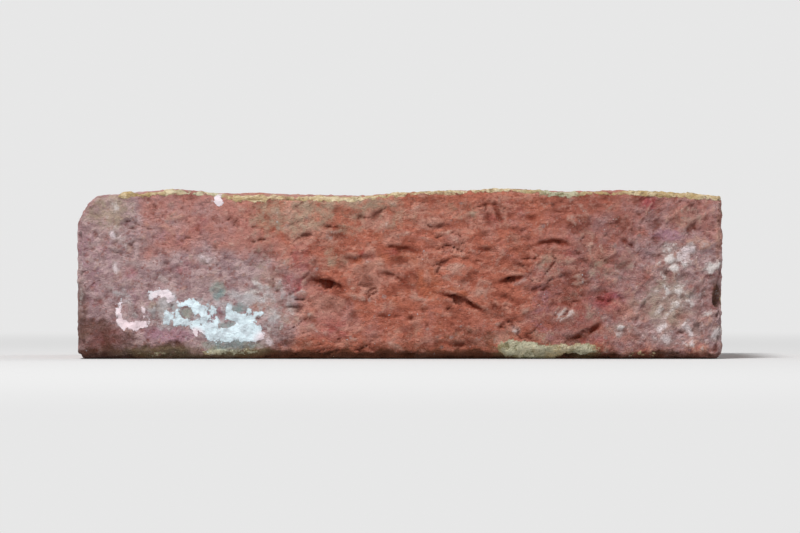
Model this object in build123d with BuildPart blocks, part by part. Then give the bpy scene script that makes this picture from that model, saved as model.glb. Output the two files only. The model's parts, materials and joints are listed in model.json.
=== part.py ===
"""A hand-made clay brick out of an old wall, weathered on one long face.

The brick lies on its moulded bed. X runs along its length, Z is up, and the weathered face looks
towards -Y. The origin is the middle of the lower bed. All sizes are in millimetres.
"""

from build123d import *
import os

os.makedirs("parts", exist_ok=True)

# The mould: overall size of the fired brick
BRICK_LENGTH = 216.0
BRICK_WIDTH = 102.0
BRICK_HEIGHT = 57.0

# The long faces belly out a little between the ends, as the wet clay slumps when the mould is lifted
FRONT_BELLY = 0.7
BACK_BELLY = 1.2

# The struck face: how far it lies below the full height, read at even steps from the left end to the
# right. The strike leaves waves across the length, and the weathered front arris has lost the most.
FRONT_WAVES = (2.4, 1.8, 0.7, 2.8, 2.9, 3.4, 1.6, 0.7, 0.0, 0.9, 0.9, 1.8, 3.4)
BACK_WAVES = (1.2, 0.5, 0.9, 1.6, 1.0, 0.4, 0.8)

# Rounding of the arrises
LOWER_ARRIS = 3.0
UPPER_ARRIS = 1.6
UPRIGHT_ARRIS = 2.2

# The worn corner, top left of the weathered face: its reach along and down the face, and how far its
# worn curve stands out from the straight line between its two ends. The wear goes on along the upper
# arris of the end and gets slighter towards the back, where this share of its section is left.
WEAR_ALONG = 14.0
WEAR_DOWN = 12.5
WEAR_BULGE = 3.0
WEAR_AT_BACK = 0.23

# The spall on the right end of the weathered face, a shallow shell broken out of the upright arris.
# It was struck from the right and a little from the front, by SPALL_TURN degrees.
SPALL_RADIUS = 5.2
SPALL_BITE = 2.8
SPALL_ABOVE_BED = 20.5
SPALL_TURN = 25.0

# Clay folds in the weathered face. Each is a crescent mouth that narrows to its root: its place along
# the length and up the height, as shares of the face, then its length, mouth, arch and depth, and its
# tilt in degrees, which is positive where the fold rises to the right
CLAY_FOLDS = (
    (0.396, 0.76, 8.0, 2.2, 0.4, 2.6, -6.0),
    (0.440, 0.60, 8.0, 2.6, -0.9, 2.2, 4.0),
    (0.503, 0.63, 9.5, 2.4, 0.5, 2.4, -8.0),
    (0.390, 0.43, 11.0, 4.0, 0.8, 4.0, -14.0),
    (0.488, 0.47, 8.6, 3.2, 0.6, 3.0, -20.0),
    (0.595, 0.33, 12.6, 3.6, 0.9, 4.4, -23.0),
    (0.673, 0.45, 8.8, 3.8, 0.5, 2.6, 12.0),
    (0.739, 0.66, 10.4, 2.4, 1.5, 3.0, 0.0),
    (0.787, 0.16, 11.0, 2.8, -0.6, 3.6, 25.0),
    (0.854, 0.66, 5.0, 2.0, 0.3, 1.8, -35.0),
)
# The share of the mouth's section that is left at the root
FOLD_ROOT = 0.3

# How far a cutting shape starts outside the clay
CLEARANCE = 2.0

left_end = -BRICK_LENGTH / 2
right_end = BRICK_LENGTH / 2
front = -BRICK_WIDTH / 2
back = BRICK_WIDTH / 2


def struck_off(drops, plane):
    """The closed outline of what the strike takes off the clay on an upright plane."""
    step = (BRICK_LENGTH + 2 * CLEARANCE) / (len(drops) - 1)
    start = left_end - CLEARANCE
    crests = [(start + i * step, BRICK_HEIGHT - drop) for i, drop in enumerate(drops)]
    with BuildSketch(plane) as taken_off:
        with BuildLine():
            Spline(*crests)
            Polyline(
                crests[-1],
                (crests[-1][0], BRICK_HEIGHT + 2 * CLEARANCE),
                (crests[0][0], BRICK_HEIGHT + 2 * CLEARANCE),
                crests[0],
            )
        make_face()
    return taken_off.sketch


def worn_off(share, plane):
    """The outline of what the weather took off the corner, at a share of its full section."""
    foot = Vector(left_end, BRICK_HEIGHT - share * WEAR_DOWN)
    head = Vector(left_end + share * WEAR_ALONG, BRICK_HEIGHT)
    outward = Vector(foot.Y - head.Y, head.X - foot.X).normalized()
    middle = (foot + head) / 2 + outward * share * WEAR_BULGE
    with BuildSketch(plane) as corner:
        with BuildLine():
            ThreePointArc(foot, middle, head)
            Polyline(
                head,
                (head.X, BRICK_HEIGHT + CLEARANCE),
                (left_end - CLEARANCE, BRICK_HEIGHT + CLEARANCE),
                (left_end - CLEARANCE, foot.Y),
                foot,
            )
        make_face()
    return corner.sketch


def crescent(length, mouth, arch, plane):
    """The outline of a fold: two arcs between its tips, which lie on the plane's X axis."""
    tips = (-length / 2, 0), (length / 2, 0)
    with BuildSketch(plane) as fold:
        with BuildLine():
            ThreePointArc(tips[0], (0, arch + mouth / 2), tips[1])
            ThreePointArc(tips[0], (0, arch - mouth / 2), tips[1])
        make_face()
    return fold.sketch


with BuildPart() as clay_brick:
    # The moulded block, standing higher than the strike leaves it
    with BuildSketch():
        with BuildLine():
            ThreePointArc((left_end, front + FRONT_BELLY), (0, front), (right_end, front + FRONT_BELLY))
            Line((right_end, front + FRONT_BELLY), (right_end, back - BACK_BELLY))
            ThreePointArc((right_end, back - BACK_BELLY), (0, back), (left_end, back - BACK_BELLY))
            Line((left_end, back - BACK_BELLY), (left_end, front + FRONT_BELLY))
        make_face()
    extrude(amount=BRICK_HEIGHT + CLEARANCE)

    # The strike leaves a surface that is ruled from the front waves to the back ones
    before_front = Plane.XZ.offset(CLEARANCE - front)
    behind_back = Plane.XZ.offset(-CLEARANCE - back)
    loft(
        [struck_off(FRONT_WAVES, before_front), struck_off(BACK_WAVES, behind_back)],
        ruled=True,
        mode=Mode.SUBTRACT,
    )

    # Handling and weather round the arrises
    fillet(clay_brick.edges().filter_by(Axis.Z), UPRIGHT_ARRIS)
    fillet(clay_brick.faces().sort_by(Axis.Z)[0].edges(), LOWER_ARRIS)
    fillet(clay_brick.faces().sort_by(Axis.Z)[-1].edges(), UPPER_ARRIS)

    # The worn corner is widest on the weathered face
    loft([worn_off(1, before_front), worn_off(WEAR_AT_BACK, behind_back)], mode=Mode.SUBTRACT)

    # The spall is a bite out of the upright arris
    stand_off = Vector(SPALL_RADIUS - SPALL_BITE, 0, 0).rotate(Axis.Z, -SPALL_TURN)
    with Locations(Vector(right_end, front + FRONT_BELLY, SPALL_ABOVE_BED) + stand_off):
        Sphere(SPALL_RADIUS, mode=Mode.SUBTRACT)

    # The folds go straight into the face
    for along, up, length, mouth, arch, depth, tilt in CLAY_FOLDS:
        place = Vector(left_end + along * BRICK_LENGTH, front, up * BRICK_HEIGHT)
        slope = Vector(1, 0, 0).rotate(Axis.Y, -tilt)
        face = Plane(origin=place, x_dir=slope, z_dir=(0, -1, 0))
        fold_mouth = crescent(length, mouth, arch, face.offset(CLEARANCE))
        fold_root = crescent(length * FOLD_ROOT, mouth * FOLD_ROOT, arch * FOLD_ROOT, face.offset(-depth))
        loft([fold_mouth, fold_root], mode=Mode.SUBTRACT)

clay_brick.part.label = "clay_brick"
export_step(clay_brick.part, "parts/clay_brick.step")
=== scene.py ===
# %% [markdown]
# # A hand-made clay brick, weathered on one long face
#
# This lesson dresses one brick. The packed CAD brick is the frame: it has the true size, the wavy
# struck top, the worn corner, the spall and the deep folds. Here it gets the skin that a brick has
# after a century in a wall: sandy clay, mauve fireskin, lime bloom, a film of old mortar and the last
# flakes of a coat of white paint. X runs along the brick, Z is up and the weathered face looks
# towards -Y. All lengths are in metres.

import json
import math

import bmesh
import bpy
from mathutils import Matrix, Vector, noise

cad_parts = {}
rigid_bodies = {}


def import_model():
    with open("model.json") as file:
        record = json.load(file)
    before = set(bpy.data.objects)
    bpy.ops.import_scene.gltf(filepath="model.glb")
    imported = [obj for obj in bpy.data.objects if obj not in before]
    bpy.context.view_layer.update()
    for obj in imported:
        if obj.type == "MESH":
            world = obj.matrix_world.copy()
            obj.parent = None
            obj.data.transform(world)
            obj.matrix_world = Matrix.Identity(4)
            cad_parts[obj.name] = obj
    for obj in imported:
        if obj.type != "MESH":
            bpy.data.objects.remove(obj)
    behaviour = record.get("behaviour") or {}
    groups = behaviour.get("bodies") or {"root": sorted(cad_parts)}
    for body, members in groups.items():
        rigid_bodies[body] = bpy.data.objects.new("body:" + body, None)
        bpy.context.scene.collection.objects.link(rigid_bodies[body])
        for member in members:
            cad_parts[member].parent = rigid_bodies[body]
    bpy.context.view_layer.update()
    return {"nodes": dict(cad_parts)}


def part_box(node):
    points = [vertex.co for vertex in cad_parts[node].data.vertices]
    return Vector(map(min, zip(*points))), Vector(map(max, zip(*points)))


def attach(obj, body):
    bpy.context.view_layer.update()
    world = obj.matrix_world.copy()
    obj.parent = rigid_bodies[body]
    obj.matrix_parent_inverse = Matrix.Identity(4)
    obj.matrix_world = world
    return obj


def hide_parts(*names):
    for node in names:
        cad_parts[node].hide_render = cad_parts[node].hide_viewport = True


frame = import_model()
low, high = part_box("clay_brick")
MM = 0.001
print("brick measures", [round((b - a) / MM, 1) for a, b in zip(low, high)], "mm")

# %% [markdown]
# ## From the photograph to the brick
#
# The stains and flakes are placed where the photograph has them. Their places are written as pixels
# of the photograph and turned into metres on the face. One pixel is 1.45 mm of brick, the middle of
# the brick's length is at pixel 408.3, and its lower bed is at pixel row 69.6.

# %% Places on the weathered face
PIXEL = 1.45 * MM
MIDDLE_COLUMN = 408.3
BED_ROW = 69.6


def on_face(column, row):
    """A pixel of the photograph as (x, z) on the weathered face."""
    return (column - MIDDLE_COLUMN) * PIXEL, (BED_ROW - row) * PIXEL


print("face from pixel 334 to 483 is", [round(on_face(c, BED_ROW)[0] / MM, 1) for c in (334, 483)], "mm")

# %% [markdown]
# ## Colours and nodes
#
# A material is a tree of nodes. To add a node by hand takes a line for itself, one for each setting
# and one for each link. So a helper does it in one call: it is given the settings, and for each socket
# a value or the output that feeds it. Two more helpers make the nodes that turn up everywhere, sums
# and soft ramps. Colours are given as #rrggbb, while a shader wants them linear.

# %% Helpers for colours and nodes
WHITE = (1, 1, 1, 1)


def linear(hex_colour):
    """A colour picked as #rrggbb, in the linear values that the shader wants."""
    channels = [int(hex_colour[i:i + 2], 16) / 255 for i in (1, 3, 5)]
    return [c / 12.92 if c <= 0.04045 else ((c + 0.055) / 1.055) ** 2.4 for c in channels] + [1.0]


def new_material(name):
    material = bpy.data.materials.new(name)
    material.use_nodes = True
    material.node_tree.nodes.clear()
    return material, material.node_tree


def add_node(tree, kind, sockets, **settings):
    """Adds a shader node and returns its outputs. A socket takes a value, or the output that feeds it."""
    node = tree.nodes.new("ShaderNode" + kind)
    for name, setting in settings.items():
        setattr(node, name, setting)
    for socket, value in sockets.items():
        if isinstance(value, bpy.types.NodeSocket):
            tree.links.new(value, node.inputs[socket])
        else:
            node.inputs[socket].default_value = value
    return node.outputs


def maths(tree, operation, *values):
    return add_node(tree, "Math", dict(enumerate(values)), operation=operation)["Value"]


def ramp(tree, value, start, end):
    """0 where the value is at start, 1 where it is at end, and a soft ramp between."""
    sockets = {"Value": value, "From Min": start, "From Max": end}
    return add_node(tree, "MapRange", sockets, interpolation_type="SMOOTHSTEP")["Result"]


print("a grey picked as #808080 is", round(linear("#808080")[0], 3), "in linear light")

# %% [markdown]
# ## The floor
#
# The brick lies on a plain pale floor, a wide disc. Near the brick it is a matt surface that takes
# the soft shadow. Far out it fades to an even pale tone for the camera alone, so that no horizon
# shows and no extra light falls on the brick.

# %% Floor
FLOOR_RADIUS = 40.0
FLOOR_TONE = 0.6
FADE_START = 0.16
FADE_END = 0.8
BACKDROP_LEVEL = 0.8


def seen_ray(tree):
    """1 for what the camera sees, straight or in a gloss or through glass, and 0 for light."""
    path = add_node(tree, "LightPath", {})
    seen = maths(tree, "MAXIMUM", path["Is Camera Ray"], path["Is Glossy Ray"])
    return maths(tree, "MAXIMUM", seen, path["Is Transmission Ray"])


def floor_material():
    material, tree = new_material("pale_floor")
    place = add_node(tree, "TexCoord", {})["Object"]
    distance = add_node(tree, "VectorMath", {0: place}, operation="LENGTH")["Value"]
    far = maths(tree, "MULTIPLY", ramp(tree, distance, FADE_START, FADE_END), seen_ray(tree))
    matt = add_node(tree, "BsdfDiffuse", {"Color": (FLOOR_TONE, FLOOR_TONE, FLOOR_TONE, 1)})["BSDF"]
    glow = add_node(tree, "Emission", {"Color": WHITE, "Strength": BACKDROP_LEVEL})["Emission"]
    surface = add_node(tree, "MixShader", {"Fac": far, 1: matt, 2: glow})["Shader"]
    add_node(tree, "OutputMaterial", {"Surface": surface})
    return material


def make_floor():
    bm = bmesh.new()
    bmesh.ops.create_circle(bm, cap_ends=True, segments=96, radius=FLOOR_RADIUS)
    mesh = bpy.data.meshes.new("floor")
    bm.to_mesh(mesh)
    bm.free()
    floor = bpy.data.objects.new("floor", mesh)
    bpy.context.scene.collection.objects.link(floor)
    mesh.materials.append(floor_material())


make_floor()
print("floor", round(2 * FLOOR_RADIUS), "m across")

# %% [markdown]
# ## Light
#
# The photograph was taken under an open sky: soft light from above, which catches the upper edges and
# leaves the folds and the lower edge in shade. A large soft lamp high in front does that here. An even
# grey world fills the shadows. Together they light the face at about the level where a colour looks
# as it is written.

# %% Lamps and world
WORLD_LEVEL = 0.34
KEY_PLACE = Vector((-0.5, -0.95, 1.85))
KEY_SIZE = 0.6
KEY_WATTS = 46.0
RIM_PLACE = Vector((0.9, 0.7, 1.1))
RIM_SIZE = 0.9
RIM_WATTS = 4.0


def area_lamp(name, place, size, watts):
    data = bpy.data.lights.new(name, "AREA")
    data.shape = "DISK"
    data.size = size
    data.energy = watts
    lamp = bpy.data.objects.new(name, data)
    lamp.location = place
    lamp.rotation_euler = (Vector((0, 0, 0.03)) - place).to_track_quat("-Z", "Y").to_euler()
    bpy.context.scene.collection.objects.link(lamp)


def make_world():
    world = bpy.data.worlds.new("even_sky")
    world.use_nodes = True
    tree = world.node_tree
    background = tree.nodes["Background"]
    background.inputs["Color"].default_value = WHITE
    levels = {"Value": seen_ray(tree), "To Min": WORLD_LEVEL, "To Max": BACKDROP_LEVEL}
    tree.links.new(add_node(tree, "MapRange", levels)["Result"], background.inputs["Strength"])
    bpy.context.scene.world = world


area_lamp("key", KEY_PLACE, KEY_SIZE, KEY_WATTS)
area_lamp("rim", RIM_PLACE, RIM_SIZE, RIM_WATTS)
make_world()
bpy.context.scene.view_settings.view_transform = "Standard"

# %% [markdown]
# ## Camera
#
# The photograph looks straight at the wall with no lines running together. A long lens far away does
# the same. It stands level with the middle of the brick, so that the wavy upper arris and the worn
# corner draw the outline, as they do in the photograph.

# %% Camera
CAMERA_DISTANCE = 1.9
CAMERA_HEIGHT = 0.031
FRAME_WIDTH = 0.268
SENSOR = 36.0

camera_data = bpy.data.cameras.new("camera")
camera_data.sensor_width = SENSOR
camera_data.lens = SENSOR * CAMERA_DISTANCE / FRAME_WIDTH
camera = bpy.data.objects.new("camera", camera_data)
camera.location = (0, low.y - CAMERA_DISTANCE, CAMERA_HEIGHT)
camera.rotation_euler = (math.radians(90), 0, 0)
bpy.context.scene.collection.objects.link(camera)
bpy.context.scene.camera = camera
print("lens", round(camera_data.lens), "mm")

# %% [markdown]
# ## A fine mesh for the brick
#
# The CAD brick is a few thousand long triangles, too coarse to carry sand and folds. Three ways lead
# to a fine mesh: subdividing the triangles, which keeps their slivers; wrapping a fresh grid round the
# brick; or a voxel remesh, which grows even quads over any shape, folds included. The remesh is the
# simplest. It is done at 1.25 mm, and the weathered face, which is seen from close by, is subdivided
# once more. A shrinkwrap then pulls each point back on to the true surface.

# %% Remesh the brick
VOXEL = 1.25 * MM
FINE_DEPTH = 5.0 * MM
WELD = 0.002 * MM


def welded_copy(node, name):
    """A copy of a CAD node's mesh with its loose triangles joined, as an object."""
    bm = bmesh.new()
    bm.from_mesh(frame["nodes"][node].data)
    bmesh.ops.remove_doubles(bm, verts=bm.verts, dist=WELD)
    mesh = bpy.data.meshes.new(name)
    bm.to_mesh(mesh)
    bm.free()
    copy = bpy.data.objects.new(name, mesh)
    bpy.context.scene.collection.objects.link(copy)
    return copy


def applied(piece):
    """The mesh of a piece with its modifiers worked in."""
    bpy.context.view_layer.update()
    return bpy.data.meshes.new_from_object(piece.evaluated_get(bpy.context.evaluated_depsgraph_get()))


def fine_brick():
    pattern = welded_copy("clay_brick", "pattern")
    brick = welded_copy("clay_brick", "weathered_brick")
    remesh = brick.modifiers.new("even quads", "REMESH")
    remesh.mode = "VOXEL"
    remesh.voxel_size = VOXEL
    even = applied(brick)
    brick.modifiers.clear()

    bm = bmesh.new()
    bm.from_mesh(even)
    near_face = low.y + FINE_DEPTH
    face_edges = [e for e in bm.edges if max(v.co.y for v in e.verts) < near_face]
    bmesh.ops.subdivide_edges(bm, edges=face_edges, cuts=1, use_grid_fill=True)
    bm.to_mesh(brick.data)
    bm.free()

    seat = brick.modifiers.new("back to the true surface", "SHRINKWRAP")
    seat.target = pattern
    seat.wrap_method = "NEAREST_SURFACEPOINT"
    brick.data = applied(brick)
    brick.modifiers.clear()
    bpy.data.objects.remove(pattern)
    for polygon in brick.data.polygons:
        polygon.use_smooth = True
    return brick


brick = fine_brick()
print("fine brick:", len(brick.data.vertices), "points,", len(brick.data.polygons), "faces")

# %% [markdown]
# ## Relief, one layer at a time
#
# The surface is pushed in and out along its own normals by a sum of layers. Each layer is a small
# function that takes a point of the brick and the way the surface faces there, and returns a push in
# metres. A layer could be a displacement texture in the material, but real movement of the mesh also
# shows in the outline and in the mesh itself. The layers are kept in two lists, broad and fine,
# and are all applied in one go further down. The noise gets a fixed seed, so that the brick comes
# out the same every time.
#
# The first ones belong to the whole brick: the slow slump of wet clay, and the lumps under the skin.

# %% Slump and lumps
SLUMP_HEIGHT = 0.45 * MM
LUMP_HEIGHT = 0.3 * MM
CRUMB_HEIGHT = 0.27 * MM
FROST_HEIGHT = 0.35 * MM
SCUFF_HEIGHT = 0.2 * MM

noise.seed_set(7)


def smooth_step(start, end, value):
    """0 before start, 1 after end, and a soft ramp between; start may be the larger one."""
    t = min(max((value - start) / (end - start), 0.0), 1.0)
    return t * t * (3 - 2 * t)


def waves(point, size, seed=0.0, flatten=1.0):
    """Smooth noise from -1 to 1 with waves of a size, flatten times longer along X than up Z."""
    return noise.noise(Vector((
        point.x / (size * flatten) + seed,
        point.y / size - seed,
        point.z / size + 2 * seed,
    )))


def rough_waves(point, size, seed=0.0, octaves=4, flatten=1.0):
    """The same with finer and finer waves on top."""
    place = Vector((
        point.x / (size * flatten) + seed,
        point.y / size + 3 * seed,
        point.z / size - seed,
    ))
    return noise.fractal(place, 0.8, 2.1, octaves)


def looks_out(facing):
    """1 on the open weathered face, 0 round its arrises and on the other sides."""
    return smooth_step(-0.3, -0.7, facing.y)


def slump(point, facing):
    return SLUMP_HEIGHT * waves(point, 46 * MM, 1.7)


def lumps(point, facing):
    return LUMP_HEIGHT * waves(point, 13 * MM, 5.1)


def crumbs(point, facing):
    """Crumbly skin, roughest at the right end of the weathered face."""
    frost = smooth_step(70 * MM, 95 * MM, point.x) * looks_out(facing)
    return (CRUMB_HEIGHT + FROST_HEIGHT * frost) * rough_waves(point, 4.5 * MM, 2.3, 4)


def scuffs(point, facing):
    """Slanting rub marks on the left end of the weathered face."""
    here = smooth_step(-50 * MM, -75 * MM, point.x) * looks_out(facing)
    if here == 0:
        return 0.0
    along, across = (point.x + point.z) * 0.7, (point.z - point.x) * 0.7
    streaks = noise.fractal(Vector((along / (7 * MM), across / (2.2 * MM), 4.1)), 0.8, 2.1, 3)
    return SCUFF_HEIGHT * here * streaks


broad_layers = [slump, lumps]
fine_layers = [crumbs, scuffs]
print("broad:", [layer.__name__ for layer in broad_layers])

# %% [markdown]
# ## Worn arrises
#
# Where two faces meet, the surface faces neither of them squarely. That tells an arris from a face
# without naming any edge. Weather and handling have nibbled at the arrises, more in some places than
# in others, so two sizes of noise decide how much is gone.

# %% Arris wear
NIBBLE_DEPTH = 0.9 * MM
CHIP_DEPTH = 1.8 * MM


def arris(facing):
    """0 on a flat face and 1 in the middle of a rounded arris."""
    squarest = max(abs(facing.x), abs(facing.y), abs(facing.z))
    return smooth_step(0.02, 0.25, 1 - squarest)


def worn_arrises(point, facing):
    nibbles = smooth_step(0.0, 0.5, rough_waves(point, 5 * MM, 8.8, 3))
    chips = smooth_step(0.18, 0.55, waves(point, 10 * MM, 12.4))
    return -arris(facing) * (NIBBLE_DEPTH * nibbles + CHIP_DEPTH * chips)


broad_layers.append(worn_arrises)
print("chips up to", CHIP_DEPTH / MM, "mm deep")

# %% [markdown]
# ## The tails of the deep folds
#
# The deep folds are cut into the CAD brick, because they are as deep as a finger nail. A real fold
# does not stop at the ends of its mouth: it thins out into a hair line, and the clay beside it stands
# up in a low lip. Each fold is written as its middle, its half length and its arch in pixels, its
# tilt and its depth, and the same list later paints shade into the folds. Beside a deep fold the skin
# was pulled smooth, so the noise layers that follow are faded out there.

# %% Folds
# column, row, half length, tilt in degrees, arch, depth in mm
FOLDS = [
    (392.8, 39.5, 4, -6, 0.3, 0.8), (399.2, 45.6, 4.2, 4, -0.8, 0.9), (408.6, 44.4, 4.8, -8, 0.4, 0.9),
    (391.4, 52.5, 4.4, -14, 0.5, 1.6), (406.6, 51, 4, -20, 0.5, 0.9), (422.6, 56.8, 6.6, -23, 0.6, 1.9),
    (434, 51.5, 4.2, 12, 0.4, 1.2), (443.8, 43.6, 5, 0, 1.1, 1.3), (451, 63.2, 5.2, 25, -0.4, 1.6),
    (461, 43.2, 2.6, -35, 0.3, 0.8), (407.5, 59.5, 8.5, -3, -0.3, 0.5), (404, 62.6, 6, 3, 0.2, 0.4),
    (398.6, 47.2, 5, 7, 0.2, 0.4), (385, 38.2, 3.6, 12, 0.3, 0.5), (431, 60.4, 5, -6, 0.3, 0.5),
    (371, 52.5, 4, 4, 0.2, 0.4), (446.5, 57.8, 3.8, -12, 0.8, 0.5), (427, 44.5, 4.6, -5, 0.4, 0.5),
    (419, 38.5, 4.2, 5, -0.3, 0.4), (435.6, 39.2, 3.4, -4, -0.6, 0.7), (431.2, 35.4, 3, -68, -0.5, 0.6),
    (438.2, 36.8, 2.6, -2, 0, 0.6), (420.6, 65.9, 3.8, -5, -0.3, 0.6),
]
FOLD_WIDTH = 0.75 * MM
LIP_HEIGHT = 0.14 * MM
TAIL_SHARE = 0.8


def turned(dx, dz, tilt):
    """A way across the face, as its part along a tilted line and its part off it."""
    turn = math.radians(tilt)
    return dx * math.cos(turn) + dz * math.sin(turn), dz * math.cos(turn) - dx * math.sin(turn)


def along_fold(point, column, row, half_length, tilt, arch):
    """A point of the face seen from a fold: place along it from -1 to 1, and distance off its line."""
    x, z = on_face(column, row)
    along, off = turned(point.x - x, point.z - z, tilt)
    along /= half_length * PIXEL
    return along, off - arch * PIXEL * (1 - along * along)


def fold_depth(point, facing):
    """How deep the folds go at a point, in mm, and how high their lips stand, from 0 to 1."""
    depth, lip = 0.0, 0.0
    if facing.y > -0.3:
        return depth, lip
    wobble = 0.6 * MM * waves(point, 2.6 * MM, 4.4)
    for *line, sunk in FOLDS:
        along, off = along_fold(point, *line)
        if abs(along) < 1.3 and abs(off) < 5 * MM:
            off += wobble
            taper = smooth_step(1.25, 0.2, abs(along))
            depth = max(depth, sunk * taper * smooth_step(1.6, 0.2, abs(off) / FOLD_WIDTH))
            below = smooth_step(0, 1.2 * MM, -off) * smooth_step(3.4 * MM, 1.4 * MM, -off)
            lip = max(lip, taper * below)
    return depth, lip


def fold_tails(point, facing):
    depth, lip = fold_depth(point, facing)
    return LIP_HEIGHT * lip - depth * MM * TAIL_SHARE


def pulled_smooth(point, facing):
    """What is left of the noise at a point: all of it on the open face, a quarter beside a deep fold."""
    if facing.y > -0.3:
        return 1.0
    beside = 0.0
    for *line, sunk in FOLDS:
        along, off = along_fold(point, *line)
        if abs(along) < 1.2 and abs(off) < 4.6 * MM:
            near = smooth_step(4.6 * MM, 2.2 * MM, abs(off)) * smooth_step(1.2, 0.9, abs(along))
            beside = max(beside, near * smooth_step(0.6, 1.3, sunk))
    return 1 - 0.75 * beside


fine_layers.append(fold_tails)
print(len(FOLDS), "folds on the weathered face")

# %% [markdown]
# ## Torn and folded skin
#
# The clot of clay was rolled in sand and thrown into the mould. Where it dragged, the skin tore into
# short level creases, most of them in the middle of the weathered face. A noise that is stretched
# along the brick changes sign along long level lines. A groove follows those lines, and a second
# noise breaks them up into short creases. The point is shifted a little by a third noise first, so
# that the creases wander. Finer ridges curl over the whole skin, most at the right end.

# %% Drag creases
CREASE_DEPTH = 0.8 * MM
DRAG_HEIGHT = 0.62 * MM
WANDER = 4.0 * MM
TORN_MIDDLE = on_face(414, 50)
TORN_REACH = (58 * MM, 30 * MM)
PLAIN_SIDE = 0.55


def torn(point, facing):
    """How much the skin is torn here: most in the middle of the weathered face."""
    if facing.y > -0.5:
        return PLAIN_SIDE
    across = (point.x - TORN_MIDDLE[0]) / TORN_REACH[0]
    up = (point.z - TORN_MIDDLE[1]) / TORN_REACH[1]
    return PLAIN_SIDE + (1 - PLAIN_SIDE) * smooth_step(1.35, 0.5, math.hypot(across, up))


def wandering(point):
    return point + WANDER * noise.noise_vector(point / (9 * MM))


def drag_creases(point, facing):
    place = wandering(point)
    line = abs(waves(place, 3.6 * MM, 3.9, flatten=3.2))
    broken = smooth_step(0.08, 0.36, waves(place, 7 * MM, 9.2, flatten=1.6))
    groove = smooth_step(0.12, 0.0, line) * broken
    drag = rough_waves(place, 4.4 * MM, 6.4, 3, flatten=2.1)
    return torn(point, facing) * pulled_smooth(point, facing) * (DRAG_HEIGHT * drag - CREASE_DEPTH * groove)


def swirls(point, facing):
    """Curling ridges, where the sanded skin creased as the clot spread in the mould."""
    place = point + 5 * MM * noise.noise_vector(point / (12 * MM))
    line = abs(waves(place, 4.6 * MM, 8.3)) + 0.5 * abs(waves(place, 2.6 * MM, 1.1))
    left, right = smooth_step(-45 * MM, -85 * MM, point.x), smooth_step(20 * MM, 75 * MM, point.x)
    crumpled = (0.12 * left + 0.32 * right) * looks_out(facing)
    height = (0.24 + crumpled) * pulled_smooth(point, facing)
    return height * MM * (smooth_step(0.34, 0.02, line) - 0.35)


fine_layers += [drag_creases, swirls]
print("torn middle at", [round(v / MM) for v in TORN_MIDDLE], "mm")

# %% [markdown]
# ## Strike marks, sand and pits
#
# The struck top was cut level with a wet stick drawn along the mould, which leaves long shallow
# furrows. The other faces carry the sand of the mould, pressed into the skin, and where grains and
# bits of chalk have dropped out they leave pits. Voronoi noise scatters points in space: around a few
# of them, picked by a cell noise, the surface is sunk into a pit. Grains finer than a millimetre are
# left to the bump in the material.

# %% Strike marks, sand and pits
FURROW_DEPTH = 0.5 * MM
PIT_SPACING = 6.0 * MM
PIT_RADIUS = 1.7 * MM
PIT_DEPTH = 0.8 * MM
PIT_SHARE = 0.34


def strike_marks(point, facing):
    if facing.z < 0.6:
        return 0.0
    across = Vector((point.x / (60 * MM), point.y / (3.4 * MM), 0.37))
    return FURROW_DEPTH * noise.fractal(across, 0.9, 2.2, 3)


def sand(point, facing):
    return 0.1 * MM * waves(point, 1.7 * MM, 7.7) + 0.09 * MM * waves(point, 1.2 * MM, 0.9)


def pits(point, facing):
    place = (point + 1.4 * MM * noise.noise_vector(point / (3 * MM))) / PIT_SPACING
    distances, centres = noise.voronoi(place)
    if 0.5 + 0.5 * noise.cell(centres[0] * 31.7) > PIT_SHARE:
        return 0.0
    size = 0.45 + 0.55 * abs(noise.cell(centres[0] * 17.3))
    return -PIT_DEPTH * size * smooth_step(size * PIT_RADIUS / PIT_SPACING, 0.0, distances[0])


fine_layers += [strike_marks, sand, pits]
print("fine:", [layer.__name__ for layer in fine_layers])

# %% [markdown]
# ## Where the stains are
#
# Each stain is a list of soft spots on the weathered face: the middle, the half width and the half
# height in pixels, the strength, and the tilt in degrees of a spot that is not level. A spot is 1 in
# its middle, a half at its rim and nothing half as far out again. The material turns these soft masks
# into ragged edges. They are stored as attributes of the mesh's points, because a mask that the mesh
# carries can also lift the surface: paint and mortar have a thickness. The sides that the photograph
# hides have no spots. There a stain is an even level that rises and falls in clouds.

# %% Spots
FRAY = 0.7 * MM
FRAY_SIZE = 2.6 * MM


def spots_cover(spots, point):
    """The strongest spot of a list at a point of the weathered face."""
    most = 0.0
    for column, row, half_width, half_height, strength, *tilt in spots:
        x, z = on_face(column, row)
        dx, dz = point.x - x, point.z - z
        reach = 1.5 * max(half_width, half_height) * PIXEL
        if strength > most and abs(dx) < reach and abs(dz) < reach:
            u, w = turned(dx, dz, *tilt) if tilt else (dx, dz)
            off = math.hypot(u / (half_width * PIXEL), w / (half_height * PIXEL))
            most = max(most, strength * smooth_step(1.5, 0.5, off))
    return most


def frayed(point):
    """The same point, shifted by fine noise, so that what is drawn there frays."""
    return point + FRAY * noise.noise_vector(point / FRAY_SIZE)


def on_weathered_side(point, facing):
    """1 on the weathered face, running out over its arrises."""
    return smooth_step(7 * MM, 1.5 * MM, point.y - low.y) * smooth_step(0.1, -0.3, facing.y)


def stain(spots, level=0.0, swing=0.0, size=MM, seed=0.0, frays=False):
    """The mask of a stain: its spots on the weathered face, and clouds round a level elsewhere."""
    def mask(point, facing):
        side = on_weathered_side(point, facing)
        clouds = level + swing * waves(point, size, seed)
        return side * spots_cover(spots, frayed(point) if frays else point) + (1 - side) * clouds
    return mask


masks = {}
print("a pixel of the photograph is", PIXEL / MM, "mm of brick")

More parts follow.
